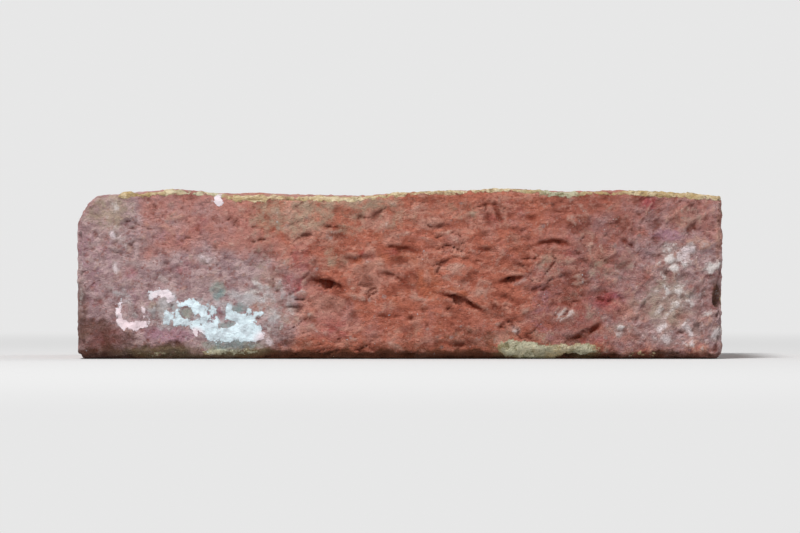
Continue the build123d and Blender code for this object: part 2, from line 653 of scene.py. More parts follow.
# %% [markdown]
# ## Mauve skin and coloured clays
#
# In the kiln the skin fired mauve where ash and flame met it: over the left end, and in clouds at the
# right. The red body holds streaks of other clays that the mixing never worked in. Noise alone could
# make such colours, but these are large enough to be told one by one in the photograph.

# %% Fireskin and coloured clays
FIRESKIN = [
    (337, 50, 14, 42, 1), (361, 52, 25, 8, 0.95), (360, 62, 22, 9, 0.95), (359, 41, 14, 10, 0.38),
    (353, 36, 7, 8, 0.4), (464, 50, 9, 12, 0.7), (456, 42, 9, 7, 0.35), (482, 55, 14, 16, 0.8),
    (474, 60, 12, 10, 0.7), (476, 40, 18, 11, 0.5), (460, 63, 9, 6, 0.55), (448, 56, 11, 12, 0.4),
    (379, 58, 7, 10, 0.75),
]
PLUM_CLAY = [
    (339, 64.6, 6, 3.4, 1), (452, 51, 13, 12, 0.65), (455, 38, 10, 8, 0.6), (443, 60, 6, 7, 0.6),
    (470, 38, 12, 6, 0.5), (448, 36, 7, 5, 0.5), (476, 52, 6, 10, 0.35), (388, 46, 5, 5, 0.35),
    (430, 62, 9, 4, 0.35),
]
PINK_CLAY = [
    (360, 40, 15, 11, 1.3), (372, 47, 10, 9, 0.9), (380, 54, 10, 12, 0.75), (462, 42, 9, 9, 0.6),
    (472, 38, 18, 9, 0.7), (392, 60, 8, 5, 0.8), (428, 40, 20, 8, 0.35), (446, 40, 12, 6, 0.4),
    (408, 62, 24, 5, 0.35),
]
CRIMSON_CLAY = [
    (456.6, 56.3, 3.8, 2.4, 0.95), (454, 59, 11, 6, 0.35, -15), (465.6, 33.3, 2.4, 1.8, 0.9),
    (452.8, 65, 3.4, 1.2, 0.7), (400.8, 45.8, 2.6, 1.2, 0.75, -20), (391, 57.5, 3.4, 4.5, 0.45),
    (430, 38, 3, 2.5, 0.5), (434, 35, 6, 3, 0.4), (340.5, 65.4, 3.6, 1.4, 0.5),
    (345.6, 49.4, 2.2, 2.2, 0.5), (362, 38, 3, 3, 0.45), (385.5, 46.5, 2.5, 4, 0.6),
    (406.5, 44.8, 2.5, 1.2, 0.6), (393, 63, 4, 3, 0.6), (447, 44, 2.5, 4, 0.4), (384, 52, 3, 3, 0.75),
    (359.6, 48.2, 5, 2.4, 0.45), (461.5, 46, 4, 2.4, 0.4),
]
LILAC_SKIN = [
    (470, 41, 3.6, 1.5, 0.95), (366.9, 58.6, 1.2, 2.2, 0.9), (337, 48, 7, 16, 0.45),
    (355, 63.9, 7, 2.1, 0.9), (353, 57.5, 4, 5, 0.5), (441, 58, 3, 8, 0.4), (349, 58, 8, 4, 0.4),
    (384.6, 48, 1.4, 6, 0.4), (478, 57, 5, 6, 0.3), (355, 42.4, 5, 4, 0.4), (346, 52.4, 5, 4, 0.45),
    (459, 57, 4, 3, 0.35), (364.6, 60.2, 1.2, 1.8, 0.6), (441.5, 63.6, 3.4, 2, 0.5),
]
ORANGE_CLAY = [
    (415, 52, 3.4, 3.6, 0.95), (408, 45.5, 7, 2.4, 0.6, -6), (398, 48, 8, 2.6, 0.5, 6),
    (411, 56, 14, 3, 0.5, -6), (403, 41.5, 5, 1.6, 0.55), (425, 62, 12, 3, 0.3),
    (371.5, 37, 2.4, 5, 0.5), (357, 36, 5, 3.4, 0.3), (387, 60, 2.5, 4, 0.6), (339.5, 65.2, 5, 2, 0.9),
    (400.4, 46.6, 3.8, 2, 1.3), (421, 54.4, 3, 1.6, 1.1), (392, 57.2, 3, 2.2, 1.2),
    (383, 55, 8, 7, 0.35),
]


def fireskin(point, facing):
    """Mauve skin: as photographed on the face, and in clouds on the sides that the photo hides."""
    clouds = 0.4 + 0.42 * rough_waves(point, 55 * MM, 3.3, 3)
    side = on_weathered_side(point, facing)
    shown = spots_cover(FIRESKIN, point) + 0.2 * rough_waves(point, 9 * MM, 1.2, 3)
    return side * shown + (1 - side) * clouds


masks["fireskin"] = fireskin
masks["plum_clay"] = stain(PLUM_CLAY, 0.15, 0.4, 35 * MM, 4.7)
masks["pink_clay"] = stain(PINK_CLAY, 0.35, 0.45, 30 * MM, 7.1)
masks["crimson_clay"] = stain(CRIMSON_CLAY, 0.0, 0.25, 17 * MM, 9.9)
masks["lilac_skin"] = stain(LILAC_SKIN, 0.0, 0.35, 21 * MM, 6.3)
masks["orange_clay"] = stain(ORANGE_CLAY, 0.0, 0.35, 24 * MM, 2.8)
print("stains:", list(masks))

# %% [markdown]
# ## Pale and dark spots: clay, painted highlight and painted shade
#
# Pale spots are partly paler clay and partly painted highlight on ridges, and dark spots are partly
# darker clay and partly painted shade in dents and in the mouths of folds. These spots are small, so
# the point is shifted by fine noise before it is looked up, and their edges fray.

# %% Pale and dark clay, painted highlight and shade
# Pale spots: paler clay, and painted highlight on ridges and along the right arris.
PALE_CLAY_AND_HIGHLIGHT = [
    (382.5, 32.9, 1.2, 0.8, 0.9), (379, 37, 1.2, 2.2, 0.6), (383, 42, 1.6, 1, 0.6),
    (385.8, 43.9, 1.2, 0.9, 0.8), (397.3, 45.8, 1.8, 0.9, 1), (400, 48.6, 7, 1.5, 0.8, -4),
    (408.4, 50.1, 1.3, 0.8, 0.7, -30), (402, 55.4, 1.6, 1.2, 0.8), (398, 61.5, 3, 1.5, 0.5),
    (395, 62.6, 1.4, 0.9, 0.8), (386, 63.4, 2.2, 2, 0.6), (402.4, 65.2, 2.4, 0.9, 0.7),
    (406.4, 65.2, 1.3, 0.8, 0.7), (423.4, 44, 1.8, 1, 0.6), (420, 54.6, 1.4, 0.9, 0.8),
    (414.6, 50.6, 1, 2.4, 0.7), (433.4, 49.7, 2.6, 0.7, 0.6, -10), (439.6, 51.4, 1.3, 0.8, 0.8),
    (437.2, 53, 1, 0.9, 0.6), (433.7, 62.6, 1.6, 0.8, 0.8), (413, 65.4, 3, 1, 0.5),
    (430.8, 44.5, 2.4, 1.2, 0.5), (427, 35.5, 8, 3, 0.4), (416, 36, 8, 3.2, 0.5),
    (464.6, 60, 1.8, 1.2, 0.7), (450, 40, 3, 2, 0.4), (472.5, 36.5, 4, 1.6, 0.6, 10),
    (443.6, 46, 3, 0.9, 0.7), (360, 38, 1.4, 1.2, 0.6), (355, 39, 1.8, 1.4, 0.5),
    (367, 43.5, 2.2, 1.2, 0.5), (362.4, 41, 2.6, 0.9, 0.5, -20), (343, 50.4, 1.2, 1.6, 0.5),
    (402, 50.4, 6, 3.2, 0.8), (408.6, 48.4, 3, 1.2, 0.5), (482, 41, 0.7, 8, 0.8),
    (345.8, 44.2, 2.2, 0.8, 0.7, -45), (389.5, 58, 6, 3, 0.6), (379, 57, 4, 4, 0.4),
    (341, 42.5, 5, 4, 0.35), (461, 58, 5, 3, 0.7), (384.8, 37.6, 3, 5.4, 1.5),
    (402.5, 37.5, 3.4, 2.6, 1.2), (406.5, 41.9, 2.6, 1.8, 0.8), (401.6, 52.4, 2.8, 2.6, 1.3),
    (392, 56.8, 3.4, 2.2, 1.3), (470, 56.4, 4.6, 4, 0.6), (429, 40.6, 2, 2.6, 0.6),
    (422.2, 52.8, 2.2, 1.6, 0.7), (454.4, 45.4, 4.2, 1.4, 0.7, 10), (415.6, 38.2, 3.4, 1.6, 1.1),
    (378, 51, 3, 2.6, 0.7), (383, 59.8, 3, 2.6, 0.8), (475, 37.6, 3.6, 2.4, 0.6),
    (462, 46.6, 3.4, 2, 0.6), (386.8, 40.8, 2.2, 2.4, 1.4), (401.4, 48, 2.2, 4.6, 1.1),
    (376, 56.8, 3.2, 1.6, 0.9), (432, 64.8, 1.6, 1.8, 1.2), (471.4, 60.6, 2.8, 1.8, 0.9),
]
# Dark spots: darker clay, and painted shade in dents and the mouths of folds.
DARK_CLAY_AND_SHADE = [
    (388.1, 47.2, 1.4, 0.8, 0.9), (378.3, 45.1, 1.6, 0.9, 0.7), (380.4, 41.4, 1, 1, 0.6),
    (370.8, 38.4, 0.8, 1.5, 0.6), (390.8, 38.4, 1.5, 0.7, 0.8, -45), (394.6, 39.6, 1.8, 1, 0.9),
    (405.8, 55.6, 0.9, 1, 0.6), (383.1, 54.4, 1.1, 0.7, 0.7), (397.6, 59.2, 0.8, 0.8, 0.6),
    (402.5, 45.2, 3, 1, 0.55, 10), (428.6, 46.4, 1.4, 0.9, 0.6), (430.9, 36, 0.9, 2.6, 0.7, 15),
    (438.2, 37, 2.6, 0.9, 0.7), (434.8, 39.3, 3, 0.6, 0.6), (441, 33.6, 1.4, 1.4, 0.5),
    (457.8, 37.4, 2, 1.8, 0.55), (451.5, 37.6, 2.2, 1, 0.45), (461.2, 43, 2.2, 1.8, 0.55, -40),
    (479.3, 40.5, 0.9, 1, 0.7), (466, 51, 1.8, 1, 0.6), (480.2, 50.4, 1.4, 0.8, 0.8),
    (478.8, 61.3, 2.6, 0.6, 0.5), (432.6, 52, 1.6, 1.2, 0.6), (436, 47.5, 2, 1.6, 0.45),
    (338.7, 36.6, 1.3, 1, 0.5), (342.3, 42.6, 0.8, 0.9, 0.6), (365.9, 37.3, 1.5, 0.8, 0.75),
    (364, 33.2, 1, 0.8, 0.6), (355.2, 36.5, 1, 0.8, 0.6), (353.8, 48.9, 1.2, 0.8, 0.45),
    (336.4, 61.5, 1.4, 1.4, 0.6), (343.6, 53, 0.7, 1.8, 0.5, -40), (420.4, 65.9, 3.4, 0.8, 0.6, -5),
    (402.6, 67.2, 2, 0.7, 0.8), (390.7, 52, 1.8, 1.1, 0.9, -10), (394.1, 53.7, 1.7, 0.9, 0.9, -10),
    (421.6, 56.6, 2.6, 1, 0.6, -20), (382, 65.6, 2.4, 1.2, 0.5), (426, 64.6, 4, 1.6, 0.5),
    (452.7, 63, 1.8, 0.9, 0.9, 25), (449, 65.2, 3.4, 1.2, 0.6, 15), (447.5, 62.4, 2.6, 1.4, 0.5, 20),
    (393.6, 41, 2.6, 1.4, 0.85), (388, 51, 2.2, 1.8, 1.1), (410.6, 51.6, 2.4, 2.2, 0.75),
    (430, 58.8, 3.2, 1.8, 0.8), (449.5, 51, 3.4, 2.2, 0.85), (449.4, 39.4, 3.2, 1.4, 0.9),
    (471.8, 50.2, 3.2, 1.4, 0.8), (387.6, 60.6, 2, 1.6, 0.7), (420, 43.2, 2.8, 1.6, 0.6),
]

masks["pale_clay_and_highlight"] = stain(PALE_CLAY_AND_HIGHLIGHT, frays=True)
masks["dark_clay_and_shade"] = stain(DARK_CLAY_AND_SHADE, frays=True)
print(len(PALE_CLAY_AND_HIGHLIGHT), "pale spots and", len(DARK_CLAY_AND_SHADE), "dark ones")

# %% [markdown]
# ## Dust, grime and painted shade
#
# Beige dust lies on the face in patches, most of it below the upper arris. Dirt and painted shade
# darken the lower arris and end upwards in a ragged line, so their spots are looked up a little
# higher or lower from place to place. A few dark spots higher up, the spall among them, are painted shade
# too.

# %% Dust, grime and painted shade
DUST = [
    (388, 35.6, 6.5, 4.6, 0.8), (379, 36.5, 6, 5, 0.75), (400.5, 33.6, 9, 1.8, 0.85),
    (397, 36.8, 17, 4.6, 0.55), (378, 55, 5.4, 7.5, 0.5), (377, 46, 8, 6, 0.4),
    (393.5, 46, 3.2, 3.4, 0.55), (470, 56.6, 6.4, 6.4, 0.7), (463.6, 57.6, 3.4, 3.6, 0.35),
    (394, 34, 36, 3.4, 0.35), (457, 48.5, 6.5, 4, 0.5), (443.5, 47.6, 5.2, 2.8, 0.5),
    (423, 35, 5.5, 3, 0.5), (459, 62.8, 3.2, 2.2, 0.5), (451, 59, 3.2, 2.2, 0.5),
    (341, 35.6, 6, 4.4, 0.85, 20), (416, 63.5, 14, 2, 0.3), (352.5, 58, 2.6, 3.4, 0.7),
    (450, 60.5, 6, 4, 0.35), (384.6, 37.4, 3, 5, 0.8), (448, 55.6, 3, 2.4, 0.4),
    (441.5, 64, 4, 2, 0.45), (475.4, 37, 4.4, 3, 0.5), (383, 59.6, 3.4, 3, 0.5), (378.5, 51, 3, 3, 0.5),
]
# Dirt and painted shade: dark along the lower arris, and a few dark spots higher on the face, among them the
# spall on the right.
GRIME_AND_SHADE = [
    (340, 68.8, 9, 2.8, 0.95), (338, 62.4, 4.4, 2, 0.7), (335.5, 56, 1.6, 6, 0.4),
    (353, 68.6, 13, 2.6, 0.9), (368, 69.1, 14, 2, 0.85), (408, 69.7, 80, 2.2, 1.15),
    (408, 68.2, 80, 3, 0.45), (380, 64.6, 5, 2.8, 0.5), (425, 64.6, 10, 2.4, 0.5),
    (411.5, 68.2, 6, 1.3, 0.6), (334.5, 60, 1.8, 9, 0.7), (455, 67.8, 8, 1.6, 0.5),
    (449.5, 64.4, 6, 2.2, 0.5, 15), (481.5, 55, 1.1, 3, 0.95), (342, 65.6, 9, 2.4, 0.6),
    (346.5, 58.4, 1.8, 1.8, 0.5), (352, 59.4, 1.4, 3, 0.5), (355.6, 57.3, 0.9, 0.9, 0.6),
    (480, 61.5, 2.4, 0.8, 0.4),
]


def grime(point, facing):
    """Dirt and painted shade along the lower arris, with a ragged upper edge."""
    side = smooth_step(7 * MM, 1.5 * MM, point.y - low.y)
    lift = 1.3 * MM * rough_waves(point, 9 * MM, 3.7, 2) + 1.1 * MM * rough_waves(point, 2.8 * MM, 8.8, 2)
    return side * spots_cover(GRIME_AND_SHADE, point + Vector((0, 0, lift))) + 0.15 * (1 - side)


masks["dust"] = stain(DUST, 0.15)
masks["grime"] = grime
print(len(DUST), "spots of dust and", len(GRIME_AND_SHADE), "of grime")

# %% [markdown]
# ## Clay that bridges the folds
#
# A torn fold is never a clean slot. Crumbs of clay lie in it and small bridges cross its mouth, so
# that one fold shows as two or three hollows. The points that lie behind the open face are brought
# forward by a part of their depth, and all the way where a bridge stands.

# %% Bridge the folds
CRUMB_FILL = 0.22
FACE_BELLY = 0.7 * MM
BRIDGES = [
    (392.7, 39.1, 0.6, 1.8, 0.75, -25), (397.2, 45.9, 0.6, 1.6, 0.6, 20),
    (406.9, 44.4, 0.7, 1.6, 0.7, 15), (411.2, 44.8, 0.5, 1.4, 0.6, -10),
    (393.2, 52.2, 0.5, 1.6, 0.8, -30), (387.6, 51.7, 1.5, 1.8, 0.4), (407.4, 51, 0.5, 1.8, 0.75, -20),
    (424.6, 57.9, 0.7, 2.2, 0.75, -40), (419.6, 55.9, 0.4, 1.3, 0.5, 20),
    (435.1, 51.3, 0.8, 2, 0.9, 10), (441.4, 43.3, 0.4, 1.4, 0.45, 30), (449.6, 63.9, 0.6, 1.6, 0.4, 35),
]


def behind_face(point):
    """How far a point lies behind the open face, which bellies out a little, arrises left out."""
    depth = point.y - low.y - FACE_BELLY * (point.x / high.x) ** 2
    if not 0 < depth < 6 * MM:
        return 0.0
    upright = smooth_step(4 * MM, 8 * MM, high.z - point.z) * smooth_step(3 * MM, 6 * MM, point.z)
    return depth * upright * smooth_step(3 * MM, 6 * MM, high.x - abs(point.x))


def bridge_folds(piece):
    filled = 0
    for vertex in piece.data.vertices:
        depth = behind_face(vertex.co)
        if depth > 0.2 * MM:
            share = CRUMB_FILL * (1 + waves(vertex.co, 2.4 * MM, 6.1))
            bridge = spots_cover(BRIDGES, frayed(vertex.co))
            vertex.co.y -= depth * max(share, bridge)
            filled += 1
    piece.data.update()
    return filled


print("points brought forward in the folds:", bridge_folds(brick))

# %% [markdown]
# ## The last of the white paint
#
# What is left of the paint at the lower left is a ragged patch with holes, an arch and an open ring.
# These are lines rather than spots, so they are written as strokes: two ends and a half width, all in
# pixels, and how solid the paint still is. The holes are taken out again. Between the strokes a thin
# wash of the paint is left, which lets the clay through.

# %% Paint strokes and holes
# from column, row, to column, row, half width, strength
PAINT_STROKES = [
    (364.6, 64, 374.8, 64.2, 1.4, 1.2), (371.6, 61.6, 375, 63.8, 1.7, 1.2),
    (368.6, 59, 373.4, 61.4, 1.5, 1.15), (365, 62.2, 371.4, 63, 1.1, 1.1),
    (360.8, 57.6, 364.6, 61.4, 1.6, 1.1), (356.8, 57, 361, 57, 0.9, 0.9),
    (357, 58.6, 357.6, 61, 0.9, 0.85), (357.6, 61, 361.6, 61.6, 1, 0.9),
    (363.4, 57.2, 365, 58.2, 0.9, 0.8), (365, 58.4, 365.8, 61.6, 1, 1),
    (368.6, 57.6, 369.4, 60.2, 1, 0.95), (372.6, 57.6, 374.4, 60.6, 1, 0.85),
    (362.2, 62.8, 364.8, 63.8, 1, 0.95), (360.5, 62.4, 361, 64.1, 0.6, 0.8),
    (350.9, 54.9, 352.4, 54.3, 1, 0.95), (352.4, 54.3, 354.2, 54.5, 1.1, 1.1),
    (354.2, 54.5, 355.4, 55.8, 1, 1.1), (355.4, 59.2, 356.3, 61.4, 0.8, 0.6),
    (343.3, 57.1, 343.4, 59.4, 0.75, 0.85), (343.4, 59.4, 344.4, 61.2, 0.9, 1),
    (344.4, 61.2, 346.2, 62.1, 1, 1.15), (346.2, 62.1, 348.2, 61.8, 0.9, 1),
    (348.2, 61.8, 349.6, 60.9, 0.85, 0.9), (349.6, 60.9, 349.2, 58, 0.7, 0.66),
    (343.7, 55.6, 343.3, 57.1, 0.6, 0.55), (375.3, 59.2, 375.8, 59.1, 0.75, 0.95),
    (366.4, 32.4, 366.5, 33.4, 0.8, 1.1), (354.3, 59, 354.7, 61.6, 0.8, 0.78),
]
PAINT_HOLES = [
    (358.8, 58.8, 1.3, 1, 0.95, -15), (360.2, 59.9, 0.9, 0.6, 0.7, -30), (366.9, 58.6, 0.9, 1.7, 0.95),
    (371.2, 58, 1.6, 1.3, 0.9), (368.1, 61.7, 2.2, 0.8, 0.9, 24), (355.8, 57.4, 0.9, 0.9, 0.8),
    (362, 59.8, 0.8, 0.6, 0.5), (370.4, 63.6, 1, 0.5, 0.35, 10), (364.5, 60.2, 1.2, 1.5, 0.5),
]
PAINT_WASH = [
    (366, 60.3, 11, 5, 0.75), (363, 56.6, 4.5, 1.6, 0.7), (354, 58.6, 4.4, 5, 0.85),
    (346.6, 60, 4, 3, 0.4), (356, 64, 6, 1.8, 0.35), (378.5, 57, 6, 7, 0.68), (343.5, 42.5, 4, 4, 0.3),
    (366.2, 54, 2.4, 2.6, 0.6), (373.6, 55.8, 3.4, 1.8, 1), (343.4, 55.2, 2.6, 2.4, 0.7),
    (370, 54.8, 2.4, 1.4, 0.8),
]


def strokes_cover(strokes, point):
    """The strongest stroke at a point, 1 on its line, a half at its rim."""
    most = 0.0
    for column_a, row_a, column_b, row_b, half_width, strength in strokes:
        ax, az = on_face(column_a, row_a)
        bx, bz = on_face(column_b, row_b)
        dx, dz = bx - ax, bz - az
        share = ((point.x - ax) * dx + (point.z - az) * dz) / (dx * dx + dz * dz)
        share = min(max(share, 0.0), 1.0)
        off = math.hypot(point.x - ax - share * dx, point.z - az - share * dz)
        most = max(most, strength * smooth_step(2.0, 0.0, off / (half_width * PIXEL)))
    return most


def thin_coat(spots, reach, frays=True):
    """The mask of a thin coat: its spots, as far back over the arrises as it reaches."""
    def mask(point, facing):
        if point.y > low.y + reach:
            return 0.0
        return spots_cover(spots, frayed(point) if frays else point)
    return mask


def paint(point, facing):
    """White paint: the share of the surface that it still covers."""
    if point.y > low.y + 3 * MM:
        return 0.0
    place = frayed(point)
    return strokes_cover(PAINT_STROKES, place) - 0.9 * spots_cover(PAINT_HOLES, place)


masks["paint"] = paint
masks["wash"] = thin_coat(PAINT_WASH, 3 * MM)
print(len(PAINT_STROKES), "strokes of paint and", len(PAINT_HOLES), "holes")

# %% [markdown]
# ## Algae, moss and a tinge of rose
#
# Grey-blue algae grow in the holes of the paint and grey-green moss on the mortar, and here and there
# the white is tinged with rose. These masks only tint what lies there, so soft spots will do.

# %% Tints
ALGAE = [
    (359.1, 59, 1.5, 1.3, 0.95, -15), (371.2, 58, 1.9, 1.4, 0.8), (368.1, 61.7, 2.2, 0.9, 0.9, 24),
    (365.6, 54, 1.7, 1.3, 0.75), (366.6, 55.6, 1.3, 1.2, 0.55), (366.2, 52.2, 1.7, 0.9, 0.5, -10),
    (356, 57.4, 1, 1, 0.5), (369.2, 66.3, 7.8, 1.4, 0.85), (366.4, 53.7, 1.8, 2.2, 0.9),
]
MOSS = [
    (369.5, 67.4, 8.5, 1.8, 1), (354, 68.2, 10, 1.6, 0.7), (437, 67, 7.5, 3, 1, -8),
    (450.5, 67.8, 3.4, 1.8, 1), (444, 67.4, 9, 1.6, 0.7), (445, 30, 5.2, 3.2, 1),
    (362, 30.2, 8, 2.6, 0.7), (395, 30.6, 9, 2.4, 0.55), (436, 29.6, 8, 2.4, 0.4),
]
ROSY_PAINT = [
    (343.5, 42, 5, 5, 0.9), (342.4, 48.5, 3, 3, 0.7), (353.4, 51, 3, 2, 0.9), (363, 46.6, 4, 3, 1),
    (378, 65, 3, 2, 0.9), (346.5, 60, 5.5, 4.5, 1), (353.6, 55.2, 3.6, 2.2, 0.8),
    (361, 63.8, 1.8, 1.4, 0.9), (475, 45, 3, 2.4, 0.7), (472, 64, 12, 3, 0.5), (366.6, 33, 2, 2, 0.8),
]

masks["algae"] = thin_coat(ALGAE, 8 * MM)
masks["moss"] = thin_coat(MOSS, 14 * MM, frays=False)
masks["rosy"] = thin_coat(ROSY_PAINT, 8 * MM, frays=False)
print("tints:", list(masks)[-3:])

# %% [markdown]
# ## Lime bloom
#
# Rain carries lime out of the joints, and it dries as a white bloom. Most of it sits at the right end:
# a grey haze, whitest on the ridges, with crusts in it. The haze is spots, broken up by noise, and the
# crusts are short strokes like those of the paint.

# %% Lime
LIME_STROKES = [
    (341.8, 40.4, 343.2, 41.8, 0.9, 0.95), (343.2, 41.8, 345.4, 44, 0.7, 0.8),
    (342.3, 47.8, 342.7, 49.4, 0.8, 0.8), (342, 33.6, 342.5, 34.8, 1, 0.7),
    (353, 50.9, 353.8, 51.3, 0.8, 0.85), (362.4, 46.3, 363.6, 47, 1.1, 0.8),
    (345.6, 57, 345.9, 58.8, 0.6, 0.55), (348.6, 56.8, 348.9, 59.2, 0.6, 0.5),
    (353.7, 57.2, 354.2, 62, 1.1, 0.75), (373.4, 54.4, 375.2, 54.1, 1.1, 0.9),
    (374.4, 51.4, 376.4, 52.8, 0.9, 0.7), (376.8, 55.8, 378.6, 54, 0.8, 0.75),
    (378, 57.6, 380, 59.8, 0.9, 0.75), (382.5, 55.8, 383.2, 58.8, 0.8, 0.75),
    (380.4, 62.6, 381.6, 60.2, 0.8, 0.6), (376.8, 65, 378.4, 65.8, 1, 0.8),
    (377, 61.2, 378.2, 62.6, 0.8, 0.6), (469.9, 44.1, 470.5, 46.2, 1.3, 1.05),
    (470.9, 46.4, 471.8, 48.4, 1.3, 1.05), (473.2, 45.8, 475.6, 44.3, 1.3, 1.2),
    (472, 46.8, 473.4, 46, 1, 0.8), (479.6, 48.6, 481.8, 47.6, 1.1, 1),
    (469, 49.6, 469.7, 51, 0.8, 0.8), (468.4, 62.6, 469, 61.8, 1.1, 1),
    (469.8, 64.8, 470.2, 65.6, 1, 1.1), (459.1, 62.4, 459.3, 64, 0.9, 1),
    (474.2, 62.6, 475.6, 63.9, 0.9, 1.05), (481, 64.4, 482.2, 63.3, 1.1, 1.1),
    (443.4, 59, 447.4, 58.7, 0.9, 0.45), (443.6, 60.6, 447.4, 60.5, 0.9, 0.42),
    (472.6, 52.8, 475.4, 51.4, 0.6, 0.65), (476.4, 55.6, 478.6, 54.2, 0.6, 0.65),
    (473.2, 58.6, 475.8, 57.4, 0.6, 0.62), (477.8, 59.8, 480.2, 58.8, 0.6, 0.7),
    (434.4, 62.6, 435.6, 62.9, 0.8, 0.6), (434.8, 52.4, 437.4, 51.2, 0.5, 0.6),
    (459.8, 49.4, 463, 46.2, 0.5, 0.4),
]
LIME_HAZE_AND_EDGE_HIGHLIGHT = [
    (468, 48, 8, 9, 0.2), (472, 57, 8, 9, 0.56), (471.6, 46.4, 5, 3.6, 0.62), (470.6, 56.4, 6, 6, 0.72),
    (461, 57.6, 4.6, 4, 0.3), (460, 63, 5, 2.6, 0.45), (446, 59.8, 4, 2.4, 0.42),
    # The narrow spot at column 334.2 is the pale line along the left arris: partly lime, partly painted
    # highlight on the lit edge.
    (477.4, 61, 3.4, 6, 0.45), (472, 64, 10, 3, 0.5), (343, 46, 7, 12, 0.3), (334.2, 52, 1.2, 12, 0.5),
    (382, 50, 6, 6, 0.25),
]


def lime(point, facing):
    """Lime bloom: the share of the surface that it covers, with a thin painted highlight along the left
    arris.
    """
    if point.y > low.y + 6 * MM:
        return 0.0
    haze = spots_cover(LIME_HAZE_AND_EDGE_HIGHLIGHT, point) * (0.8 + 0.7 * rough_waves(point, 4 * MM, 5.5, 3))
    return max(haze, strokes_cover(LIME_STROKES, frayed(point)))


masks["lime"] = lime
print(len(LIME_STROKES), "crusts of lime in", len(LIME_HAZE_AND_EDGE_HIGHLIGHT), "hazes")

# %% [markdown]
# ## Old mortar on the arrises
#
# The brick broke out of a bed of yellow lime mortar. A gritty film of it still clings to the upper
# arris of the weathered face, with a lump right of the middle, and a paler, greener one sits under
# the lower arris. The film is thickest on the arris and runs out a centimetre into the struck face.
# The struck face is wavy, so the height of its front edge is first read off the mesh.

# %% Mortar
# from column, to column, how far down the face in pixels, strength
MORTAR_RUNS = [
    (344, 358, 0.55, 0.95), (357, 371, 0.3, 0.72), (370, 377, 0.7, 0.95), (376, 390, 0.3, 0.7),
    (388, 408, 0.4, 0.85), (408, 431, 0.2, 0.72), (430, 442, 0.3, 0.85), (441, 449, 0.9, 1),
    (449, 457, 0.35, 0.7), (457, 482, 0.4, 0.9),
]
MORTAR_ON_BED = 5 * MM
MORTAR_HEIGHT = 0.55 * MM
LOWER_MORTAR = [
    (437, 67.6, 6.6, 2.1, 1.05, -8), (447, 67.5, 8.6, 1.4, 0.95, 2), (368, 68, 8, 0.9, 0.62),
    (352, 68.6, 7, 0.7, 0.45), (464, 68.4, 5, 0.7, 0.45),
]
EDGE_STEP = 2 * MM


def read_upper_edge(piece):
    """How high the weathered face reaches, in steps along the brick."""
    heights = {}
    for vertex in piece.data.vertices:
        if vertex.co.y < low.y + 3 * MM:
            place = round(vertex.co.x / EDGE_STEP)
            heights[place] = max(heights.get(place, 0.0), vertex.co.z)
    return heights


upper_edge = read_upper_edge(brick)


def upper_mortar(point, facing):
    inwards = point.y - low.y
    if inwards > 6 * MORTAR_ON_BED:
        return 0.0
    column = point.x / PIXEL + MIDDLE_COLUMN
    below_edge = max(upper_edge.get(round(point.x / EDGE_STEP), high.z) - point.z, 0.0)
    most = 0.0
    for start, end, reach, strength in MORTAR_RUNS:
        if start - 3 < column < end + 3:
            inside = smooth_step(start - 3, start + 1, column) * smooth_step(end + 3, end - 1, column)
            down = smooth_step(2 * reach * PIXEL + 0.9 * MM, 0.3 * MM, below_edge)
            most = max(most, strength * inside * (down if inwards < 4 * MM else 1.0))
    spread = waves(Vector((point.x, 0, 0)), 15 * MM, 3.1) + 0.5 * rough_waves(point, 7 * MM, 3.1, 3)
    on_bed = MORTAR_ON_BED * max(1 + 2.4 * spread, 0.3)
    return most * smooth_step(1.5 * on_bed, 0.5 * on_bed, inwards) * smooth_step(-0.35, -0.05, facing.z)


def mortar(point, facing):
    """Mortar film: over a half where it covers the clay."""
    below = spots_cover(LOWER_MORTAR, frayed(point)) * smooth_step(9 * MM, 4 * MM, point.y - low.y)
    film = max(upper_mortar(point, facing), below)
    if film <= 0:
        return 0.0
    return film + 0.25 * rough_waves(point, 3.2 * MM, 6.6, 3)


def crusts(point, facing):
    """Paint, lime and mortar stand proud of the clay."""
    film = smooth_step(0.45, 0.8, mortar(point, facing))
    grit = 0.6 + 0.9 * rough_waves(point, 1.8 * MM, 4.9, 2)
    paint_coat = 0.1 * MM * smooth_step(0.42, 0.6, paint(point, facing))
    lime_coat = 0.15 * MM * smooth_step(0.5, 0.9, lime(point, facing))
    return max(MORTAR_HEIGHT * film * grit, paint_coat, lime_coat)


masks["mortar"] = mortar
broad_layers.append(crusts)
print("mortar film about", MORTAR_HEIGHT / MM, "mm thick")

# %% [markdown]
# ## Pushing the points and storing the masks
#
# First the masks are read at the untouched surface and stored. Then all relief layers are added up,
# and each point moves along its normal. The lower bed only ever moves inwards, so the brick still
# lies on the floor where the CAD brick does. The sum of the fine layers is stored as well: the material
# paints shade into what is sunken and a pale highlight on what stands proud, and rubs skin and paint off the
# ridges.

# %% Shape the brick
DEEPEST_FOLD = max(sunk for *line, sunk in FOLDS)


def hollow(point, facing):
    """How deep in a fold a point lies, from 0 on the open face to 1: the mask of the painted shade in the
    folds.
    """
    depth, _ = fold_depth(point, facing)
    return max(min(depth / DEEPEST_FOLD, 0.85), smooth_step(0.3 * MM, 2.2 * MM, behind_face(point)))


def store(piece, name, values):
    attribute = piece.data.attributes.new(name, "FLOAT", "POINT")
    attribute.data.foreach_set("value", values)
    print(f"{name}: from {min(values):.2f} to {max(values):.2f}, mean {sum(values) / len(values):.3f}")


def added_up(layers, surface):
    return [sum(layer(point, facing) for layer in layers) for point, facing in surface]


